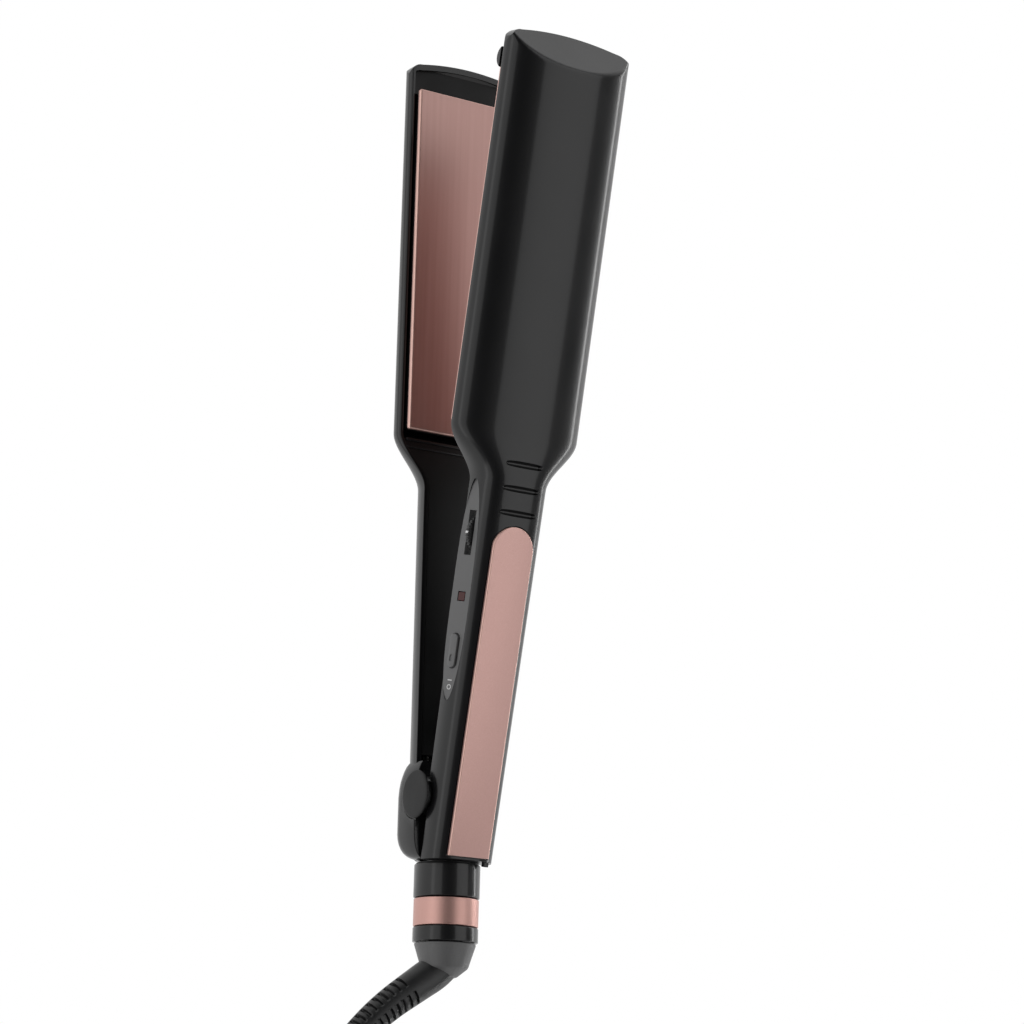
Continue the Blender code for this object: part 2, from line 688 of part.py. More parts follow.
def make_collar(frame):
    sleeve = [(SLEEVE_L[0], 5.2), (SLEEVE_L[0], COLLAR_RADIUS), (SLEEVE_L[1], COLLAR_RADIUS),
              (SLEEVE_L[1], 6.8), (40.0, 6.8), (40.0, 5.2)]
    made = as_object("collar_sleeve", turned_mesh(sleeve, COLLAR_T), frame, BLACK)
    tongue = box_mesh((-20.5, -16.6), (-6.0, 6.0), (-7.1, 0.1))
    combine(made, as_object("sleeve_tongue", tongue, frame), "UNION")
    bore = rod_mesh(3.4, "l", (-18.5, 0, COLLAR_T), 6.0, 20)
    cut(made, as_object("sleeve_bore", bore, frame))
    ring = [(RING_L[0], 7.1), (RING_L[0], RING_RADIUS), (RING_L[1], RING_RADIUS), (RING_L[1], 7.1)]
    as_object("collar_ring", turned_mesh(ring, COLLAR_T), frame, ROSE)
    end = [(END_RING_L[0], 7.1), (END_RING_L[0], 9.3), (END_RING_L[1], 9.3), (END_RING_L[1], 7.1)]
    as_object("collar_end_ring", turned_mesh(end, COLLAR_T), frame, BLACK)


def make_power_wires(frame):
    """The insulated leads from the collar, past the hinge pin, into the lower handle."""
    for number, w in ((1, -5.2), (2, 5.2)):
        route = [(13.5, w * 0.3, -5.5), (8, w * 0.8, -7.0), (0, w, -7.4), (-10, w, -7.6),
                 (-40, w, -7.8), (-80, w, -7.8), (-104, w, -7.8)]
        as_object(f"power_wire_{number}", tube_mesh(smooth_line(route, 6.0), 0.9, 1), frame,
                  CERAMIC)


# ---------- swivel, cord and plug ----------

def make_swivel(frame):
    """The cone turns in the collar; frame sits on the collar's axis."""
    cone = [(CONE_L[0], 8.5), (CONE_L[0] + 0.4, 8.8), (CONE_L[0] + 6.8, 6.7), (CONE_L[1], 3.5)]
    profile = [(24.5, 0.0), (24.5, 4.8), (CONE_L[0], 4.8)] + cone + [(CONE_L[1], 0.0)]
    bm = turned_mesh(profile, 0.0, 28)
    as_object("swivel_cone", bm, frame, MATTE)


RELIEF_ROUTE = [(46.1, 0.1, -3.0), (49.4, -3.1, -3.4), (52.7, -7.5, -4.2), (58.7, -15.5, -5.6),
                (64.6, -21.85, -6.9), (71.5, -27.9, -7.9), (79.0, -32.8, -8.75), (87.0, -35.6, -9.5)]
CORD_ROUTE = [(87.5, -35.75, -9.55), (94.0, -37.1, -9.95), (101.5, -37.4, -10.2),
              (109.5, -37.2, -10.3)]
TAIL_ROUTE = [(242.1, -37.2, -6.5), (250.0, -36.8, -8.6), (258.0, -35.3, -9.9),
              (264.5, -34.15, -10.25)]


def make_strain_relief(frame):
    """Tapered and stepping back from the swivel; its route is shared with the cord's."""
    line = smooth_line([Vector(p) - Vector((0, 0, COLLAR_T)) for p in RELIEF_ROUTE], 3.6)
    count = len(line) - 1
    taper = [1.0 - 0.336 * i / count for i in range(count + 1)]
    relief = as_object("strain_relief", tube_mesh(line, 5.2, 2, taper), frame, MATTE)
    clearance = turned_mesh([(20, 0), (20, 9.5), (CONE_L[0] + 0.4, 9.3),
                             (CONE_L[0] + 6.8 + GAP, 7.0), (CONE_L[1] + GAP, 3.8),
                             (CONE_L[1] + GAP, 0)], 0.0, 28)
    cut(relief, as_object("cone_clearance", clearance, frame))


def make_cord(frame):
    as_object("cord", tube_mesh(smooth_line(CORD_ROUTE, 6.5), CORD_RADIUS), frame, BLACK)
    as_object("cord_tail", tube_mesh(smooth_line(TAIL_ROUTE, 6.5), CORD_RADIUS), frame, BLACK)
    low = [HANK_X[0] - AXIS_X, HANK_X[1] - AXIS_X]
    outline = pill_outline((-low[1], -low[0]), HANK_HALF, HANK_Y, 10)
    depth = (HANK_Z[0] - AXIS_Z, HANK_Z[1] - AXIS_Z)
    as_object("cord_hank", prism_mesh(outline, depth), frame, BLACK)
    middle = -sum(low) / 2
    span = (middle - 5, middle + 5)
    side = (HANK_Y - HANK_HALF - 1.0, HANK_Y + HANK_HALF + 1.0)
    tie = as_object("cord_tie", box_mesh(span, side, (-AXIS_Z, depth[1] + 0.9), 0.2), frame, MATTE)
    hole = box_mesh((middle - 9, middle + 9), (side[0] + 0.7, side[1] - 0.7),
                    (-AXIS_Z + 0.6, depth[1] + 0.3))
    cut(tie, as_object("tie_hole", hole, frame))


def make_plug(frame):
    """A plain two-pin plug lying flat; its blades stand on edge."""
    body = box_mesh((-301, -265.3), (-44.6, -23.6), (-AXIS_Z, -AXIS_Z + 15.0), 3.0)
    as_object("plug_body", body, frame, BLACK)
    for name, w in (("a", -40.45), ("b", -27.75)):
        blade = box_mesh((-318, -301.3), (w - 0.75, w + 0.75), (-9.1, -2.7), 0.2)
        as_object(f"plug_blade_{name}", blade, frame, BRASS)


def build():
    lower = new_frame("lower_arm_frame", None, (AXIS_X, 0, AXIS_Z))
    upper = new_frame("upper_arm_frame", lower, (0, 0, 0), OPEN_DEG)
    for arm, frame, is_upper in (("lower", lower, False), ("upper", upper, True)):
        make_casing(f"{arm}_shell", frame, is_upper)
        make_inlay(f"{arm}_inlay", frame, is_upper)
        make_plate(f"{arm}_plate", frame, not is_upper)
        make_carrier(f"{arm}_plate_carrier", frame, not is_upper)
        make_head_inside(arm, frame, not is_upper)
        make_liner(f"{arm}_liner", frame, is_upper)
        make_screws(arm, frame, not is_upper)
    make_controls(upper)
    make_electronics(upper)
    make_align_tabs(upper)
    make_hinge_bracket(upper)
    make_dial(upper)
    make_button(upper)
    make_hinge(lower)
    make_collar(lower)
    make_power_wires(lower)
    swivel = new_frame("swivel_axis", lower, (0, 0, COLLAR_T))
    make_swivel(swivel)
    make_strain_relief(swivel)
    make_cord(lower)
    make_plug(lower)


clear_scene()
PARTS = new_collection("flat_iron")
CUTTERS = new_collection("cutters")
build()
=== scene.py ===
"""Studio scene of a flat iron: fine surfaces, materials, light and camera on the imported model's frame."""
import math

import bmesh
import bpy
from mathutils import Matrix, Vector


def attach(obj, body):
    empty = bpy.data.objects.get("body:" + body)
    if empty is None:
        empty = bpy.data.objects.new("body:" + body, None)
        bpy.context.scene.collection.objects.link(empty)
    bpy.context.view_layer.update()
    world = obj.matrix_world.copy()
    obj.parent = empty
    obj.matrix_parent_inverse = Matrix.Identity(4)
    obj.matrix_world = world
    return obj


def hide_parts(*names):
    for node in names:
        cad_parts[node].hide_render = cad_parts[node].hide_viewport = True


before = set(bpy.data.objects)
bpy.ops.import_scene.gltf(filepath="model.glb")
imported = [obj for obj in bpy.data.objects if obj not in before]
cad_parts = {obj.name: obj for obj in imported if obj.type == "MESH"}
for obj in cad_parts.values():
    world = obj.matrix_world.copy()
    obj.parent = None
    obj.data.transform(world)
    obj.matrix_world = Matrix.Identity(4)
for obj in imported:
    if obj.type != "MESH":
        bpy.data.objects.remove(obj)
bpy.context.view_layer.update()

MM = 0.001
OPEN_DEG = 11.7
AXIS = Vector((85.0, 0.0, 13.4))
COLLAR_T = -2.57
TIP_L = 220.5
RIM = 3.2
SHOULDER = (90.0, 105.5)
HEAD_HALF = 20.8
PLATE_L = (106, 210)
PLATE_HALF = 18.9
PLATE_T = (0.35, 2.1)
GROOVES = (96.0, 89.0, 82.1)
INLAY_L = (-15.4, 71.7)
INLAY_HALF = 6.7
PANEL_FACE = 11.15
CAP_SEAT = 7.2
CORD_RADIUS = 3.0
RELIEF_RADIUS = 5.2
RELIEF_TAPER = 1.75 / 55
SMOOTH_DEG = 35
TURN_STEPS = 96
ARM = {
    "upper": Matrix.Translation(AXIS) @ Matrix.Rotation(math.radians(OPEN_DEG), 4, "Y"),
    "lower": Matrix.Translation(AXIS) @ Matrix.Diagonal((1, 1, -1, 1)),
    "lower_up": Matrix.Translation(AXIS),
}


# ---------- camera ----------

def make_camera():
    data = bpy.data.cameras.new("camera")
    data.sensor_width = 36
    data.lens = 114.167
    data.clip_start = 0.05
    data.clip_end = 20
    camera = bpy.data.objects.new("camera", data)
    right = Vector((-0.026412, 0.836412, 0.547464))
    up = Vector((-0.973270, -0.146503, 0.176870))
    back = Vector((0.228141, -0.528159, 0.817924))
    place = AXIS + Vector((131.014, -486.179, 779.123))
    camera.matrix_world = Matrix.Translation(place * MM) @ Matrix((right, up, back)).transposed().to_4x4()
    bpy.context.scene.collection.objects.link(camera)
    bpy.context.scene.camera = camera


# ---------- mesh helpers ----------

def add_piece(name, bm, arm, body, look, node=None, smooth=SMOOTH_DEG):
    """Places a bmesh that is in arm millimetres, ties it to its body and material, and hides the model's nodes
    that it stands in for.
    """
    matrix = ARM[arm]
    bm.transform(Matrix.Scale(MM, 4) @ matrix)
    if matrix.determinant() < 0:
        bmesh.ops.reverse_faces(bm, faces=bm.faces)
    mesh = bpy.data.meshes.new(name)
    bm.to_mesh(mesh)
    bm.free()
    piece = bpy.data.objects.new(name, mesh)
    bpy.context.scene.collection.objects.link(piece)
    mesh.materials.append(look)
    mesh.shade_smooth()
    mesh.set_sharp_from_angle(angle=math.radians(smooth))
    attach(piece, body)
    for name_of_node in ([node] if isinstance(node, str) else node or []):
        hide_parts(name_of_node)
    return piece


def paint_edge_highlights(piece, look, sides=False):
    """Paints a highlight on the eased edges (and the long side walls) of a metal piece: a brighter second
    material stands in for the light they catch.
    """
    piece.data.materials.append(look)
    for face in piece.data.polygons:
        n = face.normal
        flat = max(abs(n.x), abs(n.z)) > 0.97 and abs(n.y) < 0.2
        if not flat and (sides or abs(n.y) < 0.99):
            # these faces take the painted highlight material
            face.material_index = 1


def arm_point(l, w, t):
    return Vector((-l, w, t))


def cutter(name, bm, arm):
    matrix = ARM[arm]
    bm.transform(Matrix.Scale(MM, 4) @ matrix)
    bmesh.ops.recalc_face_normals(bm, faces=bm.faces)
    mesh = bpy.data.meshes.new(name)
    bm.to_mesh(mesh)
    bm.free()
    obj = bpy.data.objects.new(name, mesh)
    bpy.context.scene.collection.objects.link(obj)
    return obj


def carve(piece, cutters):
    """Cuts the shapes out of a piece for good, and removes them."""
    for tool in cutters:
        modifier = piece.modifiers.new("cut", "BOOLEAN")
        modifier.operation = "DIFFERENCE"
        modifier.object = tool
        modifier.solver = "EXACT"
    graph = bpy.context.evaluated_depsgraph_get()
    mesh = bpy.data.meshes.new_from_object(piece.evaluated_get(graph))
    piece.modifiers.clear()
    piece.data = mesh
    mesh.shade_smooth()
    mesh.set_sharp_from_angle(angle=math.radians(SMOOTH_DEG))
    for tool in cutters:
        bpy.data.objects.remove(tool, do_unlink=True)


def join_rows(bm, rows):
    """Makes faces between closed rows of points."""
    verts = [[bm.verts.new(p) for p in row] for row in rows]
    count = len(rows[0])
    for low, high in zip(verts, verts[1:]):
        for i in range(count):
            j = (i + 1) % count
            bm.faces.new((low[i], low[j], high[j], high[i]))
    return verts


def capped_mesh(rows):
    """A solid through closed rows of points, with a face at each end."""
    bm = bmesh.new()
    verts = join_rows(bm, rows)
    bm.faces.new(verts[0])
    bm.faces.new(verts[-1][::-1])
    bmesh.ops.recalc_face_normals(bm, faces=bm.faces)
    return bm


def box_mesh(l, w, t, bevel=0.0, segments=3):
    bm = bmesh.new()
    bmesh.ops.create_cube(bm, size=1)
    size = Vector((l[1] - l[0], w[1] - w[0], t[1] - t[0]))
    middle = arm_point((l[0] + l[1]) / 2, (w[0] + w[1]) / 2, (t[0] + t[1]) / 2)
    bmesh.ops.scale(bm, vec=size, verts=bm.verts)
    bmesh.ops.translate(bm, vec=middle, verts=bm.verts)
    if bevel:
        bmesh.ops.bevel(bm, geom=list(bm.edges), offset=bevel, segments=segments, affect="EDGES",
                        profile=0.5)
    return bm


def turned_mesh(profile, centre, axis="X"):
    """A closed (along, radius) profile turned about an axis through centre."""
    bm = bmesh.new()
    rows = []
    for k in range(TURN_STEPS):
        a = 2 * math.pi * k / TURN_STEPS
        row = []
        for along, radius in profile:
            p = Vector((along, radius * math.sin(a), radius * math.cos(a)))
            if axis == "Y":
                p = Vector((radius * math.sin(a), along, radius * math.cos(a)))
            row.append(p + Vector(centre))
        rows.append(row)
    rows.append(rows[0])
    join_rows(bm, rows)
    bmesh.ops.remove_doubles(bm, verts=bm.verts, dist=0.0005)
    bmesh.ops.recalc_face_normals(bm, faces=bm.faces)
    return bm


def eased(profile, radius, steps=3):
    """Rounds the corners of a closed profile."""
    result = []
    count = len(profile)
    for i, point in enumerate(profile):
        p = Vector(point)
        a = Vector(profile[i - 1]) - p
        b = Vector(profile[(i + 1) % count]) - p
        r = min(radius, a.length * 0.45, b.length * 0.45)
        if p.y <= 0:
            result.append(tuple(p))
            continue
        start, end = p + a.normalized() * r, p + b.normalized() * r
        for k in range(steps + 1):
            u = k / steps
            q = start.lerp(p, u).lerp(p.lerp(end, u), u)
            result.append((q.x, q.y))
    return result


def prism_mesh(outline, low, high, bevel=0.0, segments=3):
    """An (l, w) outline between two heights (numbers or functions of l), its top edge rounded."""
    count = len(outline)
    centre = Vector((sum(p[0] for p in outline) / count, sum(p[1] for p in outline) / count))

    def level(value, l):
        return value(l) if callable(value) else value

    def inset(amount):
        points = []
        for i in range(count):
            a, b, c = (Vector(outline[(i + k) % count]) for k in (-1, 0, 1))
            d = (c - a).normalized()
            normal = Vector((d.y, -d.x))
            if normal.dot(b - centre) < 0:
                normal = -normal
            points.append(b - normal * amount)
        return points

    rows = [(0.0, low, 0.0), (0.0, high, -bevel)]
    for k in range(1, segments + 1):
        a = math.pi / 2 * k / segments
        rows.append((bevel * (1 - math.cos(a)), high, -bevel * (1 - math.sin(a))))
    if not bevel:
        rows = [(0.0, low, 0.0), (0.0, high, 0.0)]
    return capped_mesh([
        [arm_point(p.x, p.y, level(value, p.x) + shift) for p in inset(amount)]
        for amount, value, shift in rows
    ])


# ---------- casings ----------

def blend(a, b, x):
    u = min(1.0, max(0.0, (x - a) / (b - a)))
    return u * u * (3 - 2 * u)


def half_width(l):
    handle = 10.9 + 0.6 * (l + 18.2) / 106
    return handle + (HEAD_HALF - handle) * blend(*SHOULDER, l)


def crest(l, upper):
    if not upper:
        return 13.25 + 0.15 * blend(*SHOULDER, l)
    return 13.4 - max(0.0, 98.0 - l) * 0.0118


def half_columns(l, upper, inner, steps):
    """(w, t) from the rim to the crest. The first five points round the rim's edge."""
    shoulder = blend(*SHOULDER, l)
    power = (3.0 if upper else 2.5) * (1 - shoulder) + 2.1 * shoulder
    widest = 2.6 + 2.2 * shoulder
    side, over = (1.5, 2.3) if inner else (0.0, 0.0)
    half = half_width(l) - side
    top = crest(l, upper) - over - widest
    first = max(widest, 4.5)
    start = math.asin(((first - widest) / top) ** (power / 2))
    points = []
    for i in range(steps + 1):
        angle = start + (math.pi / 2 - start) * i / steps
        w = half * max(0.0, math.cos(angle)) ** (2 / power)
        points.append((w, widest + top * math.sin(angle) ** (2 / power)))
    edge = points[0][0]
    ease = 0.1 + 0.75 * shoulder
    lead = []
    for u, v in ((0.0, 0.0), (0.12, 0.04), (0.5, 0.44), (0.9, 0.86), (0.99, 1.0)):
        lead.append((edge - (0 if inner else ease * (1 - u)), RIM + 1.3 * ease * v))
    return lead + [(edge, RIM + 1.3 * ease + 0.08)] + points


def tip_outline(upper, inset=0.0):
    """The plan outline of the tip as (l, w) points, with room behind."""
    points = []
    turn, radius = (16.2, 4.6) if upper else (17.0, 3.8)
    for i in range(-40, 41):
        w = 20.9 * math.sin(math.pi / 2 * i / 40)
        inside = min(abs(w), HEAD_HALF)
        l = TIP_L - 1.75 * (min(inside, turn) / 17) ** 2
        if inside > turn:
            l += math.sqrt(max(0.0, radius ** 2 - (inside - turn) ** 2)) - radius
        points.append((l - inset, w))
    return [(-40, -30), (points[0][0], -30)] + points + [(points[-1][0], 30), (-40, 30)]


def facet(l):
    return 13.4 - (l - 209.6) * math.tan(math.radians(39.5))


def soft_min(a, b, k):
    h = max(0.0, k - abs(a - b)) / k
    return min(a, b) - h * h * k / 4


def slice_mesh(bm, point, normal):
    result = bmesh.ops.bisect_plane(
        bm, geom=bm.verts[:] + bm.edges[:] + bm.faces[:], plane_co=point, plane_no=normal,
        clear_outer=True, dist=1e-5,
    )
    edges = [e for e in result["geom_cut"] if isinstance(e, bmesh.types.BMEdge)]
    bmesh.ops.contextual_create(bm, geom=edges)
    return bm


def tail_slope(bm, inset=0.0):
    opened = math.radians(OPEN_DEG)
    normal = -arm_point(math.cos(opened), 0, -math.sin(opened))
    return slice_mesh(bm, normal * (18.3 - inset), normal)


def casing_rings(upper, inner, steps):
    """Rings of points along an arm. The upper ones run on past the tail, to be cut on its slope."""
    if upper:
        stations = [-30.0]
    elif inner:
        stations = [-16.2]
    else:
        stations = [-17.9, -17.6, -17.2, -16.5, -15.8, -14.8, -13.6]
    stations += [float(l) for l in range(-14 if inner else -12, 84, 4)]
    stations += [84 + 0.75 * i for i in range(34)] + [112.0, 116.0, 130.0, 150.0, 170.0, 190.0, 200.0]
    stations += [204.0, 206.0] + [207 + 0.35 * i for i in range(40)]
    rings = []
    for l in stations:
        half = half_columns(l, upper, inner, steps)
        if inner:
            half = [(half[0][0] - 0.15, -3.0)] + half[5:]
        ring = []
        for k, (w, t) in enumerate(half):
            if t > 3.8:
                limit = facet(l) - (2.3 if inner else 0.0)
                t = max(3.8 if not inner else 3.4, soft_min(t, limit, 0.6))
            if not upper and not inner and l < -13.5:
                back = 0.27 * ((-13.5 - l) / 4.4) ** 2.2
                w = w * (1 - back)
                t = t if t < 8 else 8 + (t - 8) * (1 - 3 * back)
            ring.append((w, t))
        mirrored = [(-w, t) for w, t in ring[-2::-1]]
        rings.append([arm_point(l, w, t) for w, t in ring + mirrored])
    return rings


def closed_loft(rings):
    bm = capped_mesh(rings)
    if bm.calc_volume(signed=True) < 0:
        bmesh.ops.reverse_faces(bm, faces=bm.faces)
    return bm


def pill_outline(l, half, steps=12):
    """A strip with round ends, as (l, w) points."""
    points = []
    for middle, start in ((l[1] - half, -90), (l[0] + half, 90)):
        for i in range(steps + 1):
            angle = math.radians(start + 180 * i / steps)
            points.append((middle + half * math.cos(angle), half * math.sin(angle)))
    return points


def inlay_outline(grow=0.0):
    """The inlay's plan: square at the tail and round at the other end."""
    steps = 40
    half = INLAY_HALF + grow
    points = [(INLAY_L[0] - grow, half), (INLAY_L[0] - grow, -half)]
    for i in range(steps + 1):
        angle = math.radians(-90 + 180 * i / steps)
        points.append((INLAY_L[1] + half * math.cos(angle), half * math.sin(angle)))
    return points


PANEL_TILT = math.radians(18)
PANEL_OUT = Vector((0, -math.cos(PANEL_TILT), math.sin(PANEL_TILT)))
PANEL_ACROSS = Vector((0, math.sin(PANEL_TILT), math.cos(PANEL_TILT)))


def panel_point(l, s, d):
    return Vector((-l, 0, 2.6)) + PANEL_ACROSS * s + PANEL_OUT * d


def panel_outline(grow=0.0):
    """The panel's long pointed outline, as (l, s) points on its own plane."""
    low, high = 27.8, 90.2
    count = 60
    points = []
    for i in range(count):
        u = (1 - math.cos(math.pi * i / (count - 1))) / 2
        width = 3.15 * (1 - abs(2 * u - 1) ** 3.2) ** 0.6 + 0.05
        points.append((low - grow + u * (high - low + 2 * grow), width + grow))
    return points + [(l, -s) for l, s in points[::-1]]


def panel_prism(outline, levels):
    """A solid on the panel's plane. levels: (distance, inset) pairs up its wall."""
    count = len(outline)
    rows = []
    for d, inset in levels:
        row = []
        for i in range(count):
            a, b, c = (Vector(outline[(i + k) % count]) for k in (-1, 0, 1))
            along = (c - a)
            normal = Vector((along.y, -along.x)).normalized() if along.length > 1e-9 else Vector((0, 0))
            p = b + normal * inset
            row.append(panel_point(p.x, p.y, d))
        rows.append(row)
    return capped_mesh(rows)


def rod_mesh(radius, middle, length):
    """A rod across the arm."""
    bm = bmesh.new()
    bmesh.ops.create_cone(bm, cap_ends=True, segments=TURN_STEPS, radius1=radius, radius2=radius, depth=length)
    bmesh.ops.rotate(bm, matrix=Matrix.Rotation(math.radians(-90), 3, "X"), verts=bm.verts)
    bmesh.ops.translate(bm, vec=arm_point(*middle), verts=bm.verts)
    return bm


def trim_tip(obj, arm, outline):
    """Keeps only what lies inside a plan outline, and returns the trimming shape."""
    trim = cutter("trim", prism_mesh(outline, -40, 40), arm)
    modifier = obj.modifiers.new("plan", "BOOLEAN")
    modifier.operation = "INTERSECT"
    modifier.object = trim
    modifier.solver = "EXACT"
    return trim


def make_casing(upper, look):
    """A hollow casing with its inlay's recess, and on the upper one the panel's opening and the grooves."""
    arm = "upper" if upper else "lower"
    outer = closed_loft(casing_rings(upper, False, 22))
    hollow = closed_loft(casing_rings(upper, True, 10))
    if upper:
        tail_slope(outer)
        tail_slope(hollow, 1.6)
    shell = add_piece(f"{arm}_casing", outer, arm, f"{arm}_arm", look, f"{arm}_shell")
    inner = cutter("hollow", hollow, arm)
    trims = [trim_tip(shell, arm, tip_outline(upper)), trim_tip(inner, arm, tip_outline(upper, 1.8))]
    recess = prism_mesh(inlay_outline(0.3), lambda l: crest(l, upper) - 1.25, 20.0)
    tools = [inner, cutter("recess", recess, arm)]
    if upper:
        tools.append(cutter("tail_relief", box_mesh((-30, -3.0), (-14, 14), (0, 4.3)), arm))
        tools.append(cutter("panel_opening", panel_prism(panel_outline(0.3), [(8.2, 0), (16, 0)]), arm))
        for side in (-1, 1):
            tools.append(cutter("disc", rod_mesh(5.9, (0, side * 12, 0), 7.0), arm))
        for l in GROOVES:
            tools.append(cutter("groove", groove_mesh(l), arm))
    else:
        tools.append(cutter("cap_seat", rod_mesh(CAP_SEAT, (0, -14.4, 0), 4.0), "lower_up"))
    carve(shell, tools)
    for trim in trims:
        bpy.data.objects.remove(trim, do_unlink=True)


def groove_mesh(l):
    """A finger groove: a trough across the back that runs out at its ends."""
    bm = bmesh.new()
    bmesh.ops.create_uvsphere(bm, u_segments=48, v_segments=24, radius=1)
    for vert in bm.verts:
        x, y, z = vert.co
        full = max(0.0, 1 - abs(y) ** 3.2) ** (1 / 3.2)
        ramp = min(1.0, (1 - abs(y)) / 0.22)
        ring = math.hypot(x, z) or 1.0
        across = (x / ring * full * 0.92, y * 6.6, z / ring * ramp * 1.45)
        if abs(y) > 0.9999:
            across = (0.0, math.copysign(6.6, y), 0.0)
        vert.co = Vector(across) + arm_point(l, 0, crest(l, True))
    return bm


# ---------- materials ----------

def new_look(name, colour, roughness, metallic=0.0, coat=0.0, coat_roughness=0.1):
    look = bpy.data.materials.new(name)
    look.use_nodes = True
    shader = look.node_tree.nodes["Principled BSDF"]
    shader.inputs["Base Color"].default_value = (*colour, 1)
    shader.inputs["Roughness"].default_value = roughness
    shader.inputs["Metallic"].default_value = metallic
    shader.inputs["Coat Weight"].default_value = coat
    shader.inputs["Coat Roughness"].default_value = coat_roughness
    return look


def nodes_of(look):
    return look.node_tree.nodes, look.node_tree.links, look.node_tree.nodes["Principled BSDF"]


def mapped_noise(look, scale, stretch=(1, 1, 1), detail=4.0):
    """Noise in the piece's own coordinates, in metres."""
    nodes, links, _ = nodes_of(look)
    coords = nodes.new("ShaderNodeTexCoord")
    mapping = nodes.new("ShaderNodeMapping")
    mapping.inputs["Scale"].default_value = stretch
    noise = nodes.new("ShaderNodeTexNoise")
    noise.inputs["Scale"].default_value = scale
    noise.inputs["Detail"].default_value = detail
    links.new(coords.outputs["Object"], mapping.inputs["Vector"])
    links.new(mapping.outputs["Vector"], noise.inputs["Vector"])
    return noise


def add_bump(look, noise, strength, distance):
    nodes, links, shader = nodes_of(look)
    bump = nodes.new("ShaderNodeBump")
    bump.inputs["Strength"].default_value = strength
    bump.inputs["Distance"].default_value = distance
    links.new(noise.outputs["Fac"], bump.inputs["Height"])
    links.new(bump.outputs["Normal"], shader.inputs["Normal"])


def vary(look, noise, socket, low, high):
    nodes, links, shader = nodes_of(look)
    span = nodes.new("ShaderNodeMapRange")
    span.inputs["From Min"].default_value = 0.3
    span.inputs["From Max"].default_value = 0.7
    span.inputs["To Min"].default_value = low
    span.inputs["To Max"].default_value = high
    links.new(noise.outputs["Fac"], span.inputs["Value"])
    links.new(span.outputs["Result"], shader.inputs[socket])


def vary_colour(look, noise, low, high):
    nodes, links, shader = nodes_of(look)
    ramp = nodes.new("ShaderNodeValToRGB")
    ramp.color_ramp.elements[0].position = 0.3
    ramp.color_ramp.elements[1].position = 0.7
    ramp.color_ramp.elements[0].color = (*low, 1)
    ramp.color_ramp.elements[1].color = (*high, 1)
    links.new(noise.outputs["Fac"], ramp.inputs["Fac"])
    links.new(ramp.outputs["Color"], shader.inputs["Base Color"])


# Each look: material name, colour, roughness, metallic, and its roughness noise (scale, detail, low, high)
LOOKS = {
    "gloss": ("gloss_black", (0.006, 0.006, 0.0065), 0.36, 0.0, (60, 6, 0.33, 0.39)),
    "matte": ("satin_black", (0.009, 0.009, 0.0095), 0.45, 0.0, (90, 6, 0.4, 0.5)),
    "grain": ("grained_black", (0.095, 0.095, 0.096), 0.5, 0.0, (1500, 3, 0.4, 0.56)),
    "panel": ("panel_satin", (0.115, 0.115, 0.116), 0.5, 0.0, (200, 5, 0.46, 0.56)),
    "deep": ("deep_black", (0.004, 0.004, 0.0042), 0.5, 0.0, (90, 6, 0.42, 0.55)),
    # edge: a painted highlight, a brighter rose than the plate and inlay, standing in for light caught on
    # their eased edges
    "edge": ("painted_edge_highlight", (0.74, 0.47, 0.41), 0.4, 0.7, (700, 3, 0.36, 0.44)),
    "rose": ("satin_rose", (0.56, 0.3, 0.25), 0.42, 0.85, (3500, 3, 0.38, 0.5)),
    "plate": ("plate_rose", (0.36, 0.19, 0.16), 0.36, 0.75, (900, 5, 0.385, 0.41)),
    "ring": ("ring_rose", (0.56, 0.33, 0.29), 0.42, 0.85, (2000, 3, 0.4, 0.48)),
    "steel": ("zinc_steel", (0.55, 0.55, 0.56), 0.3, 1.0, (800, 4, 0.24, 0.4)),
    "rubber": ("cord_black", (0.008, 0.008, 0.0085), 0.4, 0.0, (400, 5, 0.36, 0.48)),
    "red": ("red_lens", (0.05, 0.002, 0.002), 0.12, 0.0, (500, 2, 0.1, 0.16)),
    "print": ("print_white", (0.6, 0.6, 0.6), 0.6, 0.0, (800, 2, 0.55, 0.65)),
    "brass": ("plated_brass", (0.72, 0.6, 0.36), 0.25, 1.0, (600, 4, 0.2, 0.32)),
}
# Noise scale and detail, then the bump's strength and distance
BUMPS = {
    "gloss": (900, 2, 0.05, 0.00005), "matte": (2500, 3, 0.12, 0.00004), "grain": (2600, 2, 0.5, 0.0001),
    "panel": (2500, 3, 0.1, 0.00004), "rose": (5000, 1, 0.08, 0.00003), "rubber": (1500, 3, 0.1, 0.00005),
}
# Noise scale, detail, stretch, and the two colours that it runs between
TINTS = {
    "rose": (6000, 2, (1, 1, 1), (0.53, 0.325, 0.29), (0.61, 0.385, 0.35)),
    "plate": (900, 5, (0.02, 1, 1), (0.44, 0.265, 0.238), (0.48, 0.295, 0.265)),
}
SPECULAR = {"gloss": 0.26, "deep": 0.25}
STRETCH = {"plate": (0.02, 1, 1)}
COAT = {"gloss": (0.4, 0.12)}


